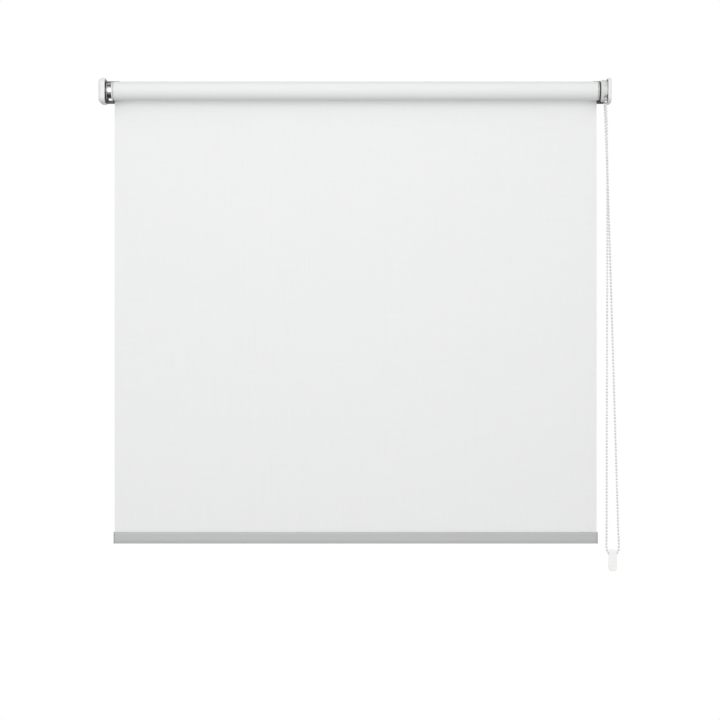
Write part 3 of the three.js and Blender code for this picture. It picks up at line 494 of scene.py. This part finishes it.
coil_line = np.array([
    (
        COIL_START + (COIL_END - COIL_START) * share,
        AXIS_Y + COIL_RADIUS * math.cos(angle),
        COIL_RADIUS * math.sin(angle),
    )
    for share, angle in zip(
        np.linspace(0, 1, COIL_POINTS), np.linspace(0, 2 * math.pi * COIL_TURNS, COIL_POINTS),
    )
])
coil = new_piece("pin_coil", "roll", *cord_tube(coil_line, WIRE_RADIUS, 8))
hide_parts("pin_spring")
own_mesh(coil)
coat(zinc, coil)

plug("drive_plug", "drive_hub", [
    (DRIVE_START, FORK_HOLE), (DRIVE_START, PLUG_CORE), (DRIVE_FLANGE, PLUG_CORE),
    (DRIVE_FLANGE, PLUG_FLANGE), (DRIVE_STEP, PLUG_FLANGE), (DRIVE_STEP, DRIVE_NECK),
    (DRIVE_STOP, DRIVE_NECK), (DRIVE_STOP, DRIVE_BORE), (DRIVE_FLOOR, DRIVE_BORE),
    (DRIVE_FLOOR, FORK_HOLE),
], DRIVE_START + 0.001, DRIVE_FLANGE + 0.0005)

# Painted shade: the spacer ring's black stands in for the shade in the gap between the plug and the guard.
shade_black = moulded(
    "moulding_painted_shade", 90, (0.035, 0.035, 0.035), (0.05, 0.05, 0.049), 800, 0.45, 0.6, 0.15,
)
washer = turned("spacer_ring_painted_shade", "roll", rounded([
    (WASHER_START, WASHER_BORE), (WASHER_START, WASHER_RADIUS),
    (WASHER_END, WASHER_RADIUS), (WASHER_END, WASHER_BORE),
], WASHER_EDGE, 3))
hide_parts("drive_washer")
coat(shade_black, washer)

# ---------------------------------------------------------------- tape and wound fabric
# The fabric's end is stuck to the tube with double-sided tape. A little over three turns stay
# wound on it, a spiral of the same thin white cloth that comes off at the back.

FABRIC_LEFT, FABRIC_WIDTH = 0.0032, 0.9
FABRIC_RIGHT = FABRIC_LEFT + FABRIC_WIDTH
ROLL_RADIUS = 0.01766
INNER_RADIUS = 0.0167
SPIRAL_TURNS, SPIRAL_ROWS = 3.09, 260
CLOTH_COLUMNS = 61

tape, tape_shader = new_finish("double_sided_tape", Roughness=0.45)
tint(tape, tape_shader, grain(tape, (1, 1, 1), 50), (0.74, 0.72, 0.66), (0.8, 0.78, 0.73))
roughen(tape, tape_shader, grain(tape, (1, 1, 1), 500), 0.2, 0.0001)
coat(tape, "fabric_tape")


def woven(name, see_through, low, high):
    """Cloth with uneven threads both ways that passes the see_through share of the light."""
    cloth, shader = new_finish(name, Roughness=0.85, IOR=1.4)
    across, along = grain(cloth, (14, 14, 900), 1.0, 4), grain(cloth, (900, 900, 14), 1.0, 4)
    both = add_node(cloth, "ShaderNodeMath", {0: across, 1: along}, operation="ADD").outputs[0]
    weave = add_node(cloth, "ShaderNodeMath", {0: both, 1: 0.5}, operation="MULTIPLY").outputs[0]
    tint(cloth, shader, weave, low, high)
    roughen(cloth, shader, weave, 0.3, 0.00015)
    passed = add_node(cloth, "ShaderNodeBsdfTranslucent", {"Color": (0.84, 0.845, 0.84, 1)})
    mixed = {0: see_through, 1: shader.outputs[0], 2: passed.outputs[0]}
    thin = add_node(cloth, "ShaderNodeMixShader", mixed).outputs[0]
    cloth.node_tree.links.new(thin, cloth.node_tree.nodes["Material Output"].inputs["Surface"])
    return cloth


def strip(name, body, rows):
    """A sheet whose rows are lists of points of one length."""
    count = len(rows[0])
    points = [p for row in rows for p in row]
    faces = [
        (r * count + i, r * count + i + 1, (r + 1) * count + i + 1, (r + 1) * count + i)
        for r in range(len(rows) - 1) for i in range(count - 1)
    ]
    return new_piece(name, body, points, faces, 80)


across = np.linspace(FABRIC_LEFT, FABRIC_RIGHT, CLOTH_COLUMNS)
spiral_rows = []
for share in np.linspace(0, 1, SPIRAL_ROWS):
    angle = 2 * math.pi * SPIRAL_TURNS * share
    radius = ROLL_RADIUS + (INNER_RADIUS - ROLL_RADIUS) * share
    spiral_rows.append([
        (x, AXIS_Y + radius * math.cos(angle), radius * math.sin(angle)) for x in across
    ])
wound = strip("wound_cloth", "roll", spiral_rows)
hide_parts("wound_fabric")
coat(woven("wound_weave", 0.05, (0.75, 0.755, 0.755), (0.8, 0.805, 0.805)), wound)

# ---------------------------------------------------------------- hanging fabric
# The cloth hangs from the back of the roll into the bottom bar. The roll and the bar keep it
# flat at its ends; between them its cut edges curl a little and it sways by under a millimetre.

HANG_Y = -0.01175
HANG_DROP, HANG_HEM, BAR_LIFT = 0.822, 0.0065, 0.781
SETTLE_DROP = 0.03
CURL, CURL_REACH = 0.0012, 0.02

hang_rows = []
near_drops = np.linspace(0, SETTLE_DROP, 9)
far_drops = np.linspace(SETTLE_DROP + 0.01, HANG_DROP + HANG_HEM, 78)
for drop in np.concatenate([near_drops, far_drops]):
    free = math.sin(math.pi * min(drop / HANG_DROP, 1)) ** 0.8 if drop < HANG_DROP else 0.0
    settle = min(drop / SETTLE_DROP, 1.0)
    line = HANG_Y + (AXIS_Y + ROLL_RADIUS - HANG_Y) * (1 - settle) ** 2
    row = []
    for x in across:
        side = min(x - FABRIC_LEFT, FABRIC_RIGHT - x)
        curl = CURL * math.exp(-side / CURL_REACH)
        sway = 0.0005 * math.sin(9 * x + 1.3) + 0.0003 * math.sin(23 * x + 3 * drop)
        row.append((x, line - free * (curl + sway), -drop))
    hang_rows.append(row)
hanging = strip("hanging_cloth", "root", hang_rows)
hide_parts("fabric_sheet")
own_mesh(hanging)
coat(woven("hanging_weave", 0.3, (0.83, 0.835, 0.835), (0.88, 0.885, 0.885)), hanging)

# ---------------------------------------------------------------- bottom bar
# An extruded rail in satin aluminium with a shallow groove low on its front. A flat strip welded
# in the hem holds the cloth in its slot, and a grey cap is pushed into each end.

bar_satin = extruded(
    "bar_aluminium", 0.55, 1.6, (0.49, 0.492, 0.498), (0.52, 0.522, 0.528), 0.5, 0.65, 0.1,
)
coat(bar_satin, "bottom_bar")
coat(grey, "bar_end_cap_idle", "bar_end_cap_control")
coat(white, "fabric_retaining_strip")

# ---------------------------------------------------------------- bead chain and its weight
# A closed loop of white plastic beads moulded on a cord, six millimetres apart. It runs over the
# wheel and hangs at the wall side of the guard, and a clamped weight rides its lowest turn.

BEAD_PITCH = 0.006
CORD_RADIUS, CORD_STEP = 0.0006, 0.0015
WRAP_LIFT = 0.00015  # half of the gap between the hanging loop and the chain over the wheel
CHAIN_ROUTE = [
    (0, -WHEEL_RADIUS, -WRAP_LIFT), (0, -WHEEL_RADIUS, -0.024),
    (0.0012, -0.0151, -0.06), (0.0021, -0.0142, -0.12),
    (0.0025, -0.0122, -0.24), (0.0025, -0.01, -0.36), (0.0024, -0.0078, -0.48),
    (0.0023, -0.0054, -0.6), (0.0023, -0.003, -0.72), (0.0024, -0.001, -0.81),
    (0.0025, 0, -0.8514), (0.004, 0, -0.857), (0.0081, 0, -0.8611), (0.0137, 0, -0.8626),
    (0.0193, 0, -0.8611), (0.0234, 0, -0.857), (0.0249, 0, -0.8514), (0.0239, 0.001, -0.81),
    (0.0214, 0.003, -0.72), (0.018, 0.0054, -0.6), (0.0147, 0.0078, -0.48), (0.0113, 0.01, -0.36),
    (0.0078, 0.0122, -0.24), (0.004, 0.0142, -0.12), (0.0016, 0.0151, -0.06),
    (0, WHEEL_RADIUS, -0.024), (0, WHEEL_RADIUS, -WRAP_LIFT),
]


def smooth_line(knots, per_span):
    """A smooth curve through the knots that doesn't swing out where they lie close together."""
    knots = np.array(knots, float)
    padded = np.vstack([2 * knots[0] - knots[1], knots, 2 * knots[-1] - knots[-2]])
    line = []
    for p0, p1, p2, p3 in zip(padded, padded[1:], padded[2:], padded[3:]):
        d0, d1, d2 = (math.sqrt(np.linalg.norm(q - p)) for p, q in ((p0, p1), (p1, p2), (p2, p3)))
        start = d1 * ((p1 - p0) / d0 - (p2 - p0) / (d0 + d1) + (p2 - p1) / d1)
        stop = d1 * ((p2 - p1) / d1 - (p3 - p1) / (d1 + d2) + (p3 - p2) / d2)
        for t in np.linspace(0, 1, per_span, endpoint=False):
            line.append(
                (2 * t ** 3 - 3 * t ** 2 + 1) * p1 + (t ** 3 - 2 * t ** 2 + t) * start
                + (3 * t ** 2 - 2 * t ** 3) * p2 + (t ** 3 - t ** 2) * stop
            )
    return np.array(line + [knots[-1]])


def every(line, step):
    """Points along a line, step apart or a little less, and how far along it they are."""
    run = np.concatenate([[0], np.cumsum(np.linalg.norm(np.diff(line, axis=0), axis=1))])
    places = np.linspace(0, run[-1], max(2, math.ceil(run[-1] / step) + 1))
    return np.array([[np.interp(s, run, line[:, k]) for k in range(3)] for s in places]), run[-1]


def bead(centre, radius, around=14, rows=9):
    """Points and faces of one bead."""
    points = [(centre[0], centre[1], centre[2] - radius)]
    for r in range(1, rows):
        tilt = math.pi * r / rows - math.pi / 2
        ring_radius, height = radius * math.cos(tilt), radius * math.sin(tilt)
        for k in range(around):
            a = 2 * math.pi * k / around
            aside, depth = ring_radius * math.cos(a), ring_radius * math.sin(a)
            points.append((centre[0] + aside, centre[1] + depth, centre[2] + height))
    points.append((centre[0], centre[1], centre[2] + radius))
    top = len(points) - 1
    faces = [(0, 1 + (k + 1) % around, 1 + k) for k in range(around)]
    for r in range(rows - 2):
        low, high = 1 + r * around, 1 + (r + 1) * around
        faces += [
            (low + k, low + (k + 1) % around, high + (k + 1) % around, high + k) for k in range(around)
        ]
    last = 1 + (rows - 2) * around
    faces += [(last + k, last + (k + 1) % around, top) for k in range(around)]
    return points, faces


def bead_string(name, cord_line, spots):
    """Beads at the spots on a cord along a line, as one piece."""
    points, faces = cord_tube(cord_line, CORD_RADIUS)
    for spot in spots:
        more, sides = bead(spot, BEAD_RADIUS)
        faces += [tuple(len(points) + i for i in side) for side in sides]
        points += more
    return new_piece(name, "root", points, faces, 80)


wheel_centre = np.array([WHEEL_X, AXIS_Y, 0.0])
hang_line = smooth_line(CHAIN_ROUTE, 24) + wheel_centre
hang_path, hang_length = every(hang_line, CORD_STEP)
leave = WRAP_LIFT / WHEEL_RADIUS
wrap_line = np.array([
    wheel_centre + WHEEL_RADIUS * np.array([0, math.cos(a), math.sin(a)])
    for a in np.linspace(leave, math.pi - leave, 60)
])
wrap_path = every(wrap_line, CORD_STEP)[0]
loop_path = np.vstack([hang_path, wrap_path[1:]])
loop_run = np.concatenate([[0], np.cumsum(np.linalg.norm(np.diff(loop_path, axis=0), axis=1))])
bead_count = round(loop_run[-1] / BEAD_PITCH)
bead_places = (np.arange(bead_count) + 0.5) * loop_run[-1] / bead_count
bead_spots = np.array([[np.interp(s, loop_run, loop_path[:, k]) for k in range(3)] for s in bead_places])
on_wheel = bead_places > hang_length

bead_white = moulded(
    "bead_plastic", 35, (0.7, 0.7, 0.695), (0.76, 0.76, 0.755), 1200, 0.28, 0.42, 0.1, 0.00005,
)

chain = bead_string("hanging_chain", hang_path, bead_spots[~on_wheel])
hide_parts("bead_chain")
chain_top = bead_string("chain_over_wheel", wrap_path, bead_spots[on_wheel])
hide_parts("chain_wrap")
coat(bead_white, chain, chain_top)
milky_weight = half_clear("milky_weight", (0.94, 0.94, 0.93), (0.97, 0.97, 0.96), 0.05, 0.02)
coat(milky_weight, "chain_weight_front", "chain_weight_back")

# ---------------------------------------------------------------- floor, light and camera
# A plain pale floor well below the blind, a white surround that is greyer overhead and below, and
# one large soft lamp in front of the roll.

FLOOR_Z, FLOOR_RADIUS, FLOOR_MIDDLE = -2.1, 5.5, -0.5
LAMP_AIM = (0.45, 0, -0.1)
SKY_BELOW, SKY_ABOVE = 0.5, 0.4
SKY_BANDS = ((0.36, 0.5), (0.42, 1.0), (0.85, 1.0), (0.95, 0.45))

floor_rows = [
    [(r * math.cos(a), FLOOR_MIDDLE + r * math.sin(a), FLOOR_Z) for a in np.linspace(0, 2 * math.pi, 97)]
    for r in np.linspace(0, FLOOR_RADIUS, 12)
]
floor = strip("studio_floor", None, floor_rows)
pale, pale_shader = new_finish("pale_floor", Roughness=0.9)
tint(pale, pale_shader, grain(pale, (1, 1, 1), 3), (0.58, 0.58, 0.58), (0.61, 0.61, 0.61))
coat(pale, floor)

surround = bpy.data.worlds.new("surround")
surround.use_nodes = True
sky_place = add_node(surround, "ShaderNodeTexCoord").outputs["Generated"]
sky_height = add_node(surround, "ShaderNodeSeparateXYZ", {0: sky_place}).outputs["Z"]
sky_range = {"Value": sky_height, "From Min": -1.0, "From Max": 1.0}
sky_share = add_node(surround, "ShaderNodeMapRange", sky_range).outputs["Result"]
sky = add_node(surround, "ShaderNodeValToRGB", {0: sky_share})
for place, tone in SKY_BANDS:
    sky.color_ramp.elements.new(place).color = (tone, tone, tone, 1)
for stop, tone in ((0, SKY_BELOW), (-1, SKY_ABOVE)):
    sky.color_ramp.elements[stop].color = (tone, tone, tone, 1)
surround.node_tree.links.new(sky.outputs["Color"], surround.node_tree.nodes["Background"].inputs["Color"])
bpy.context.scene.world = surround

lamp_data = bpy.data.lights.new("front_lamp", "AREA")
lamp_data.size = 1.3
lamp_data.energy = 13.5
lamp = bpy.data.objects.new("front_lamp", lamp_data)
bpy.context.scene.collection.objects.link(lamp)
lamp.location = (0.3, -1.8, 0.32)
lamp.rotation_euler = (lamp.location - Vector(LAMP_AIM)).to_track_quat("Z", "Y").to_euler()

camera_data = bpy.data.cameras.new("camera")
camera_data.lens = 133.8
camera_data.sensor_width = 36
camera = bpy.data.objects.new("camera", camera_data)
bpy.context.scene.collection.objects.link(camera)
camera.location = (0.4613, -5.01, -0.5005)
camera.rotation_euler = (math.pi / 2, 0, 0)
bpy.context.scene.camera = camera
bpy.context.scene.view_settings.view_transform = "Standard"
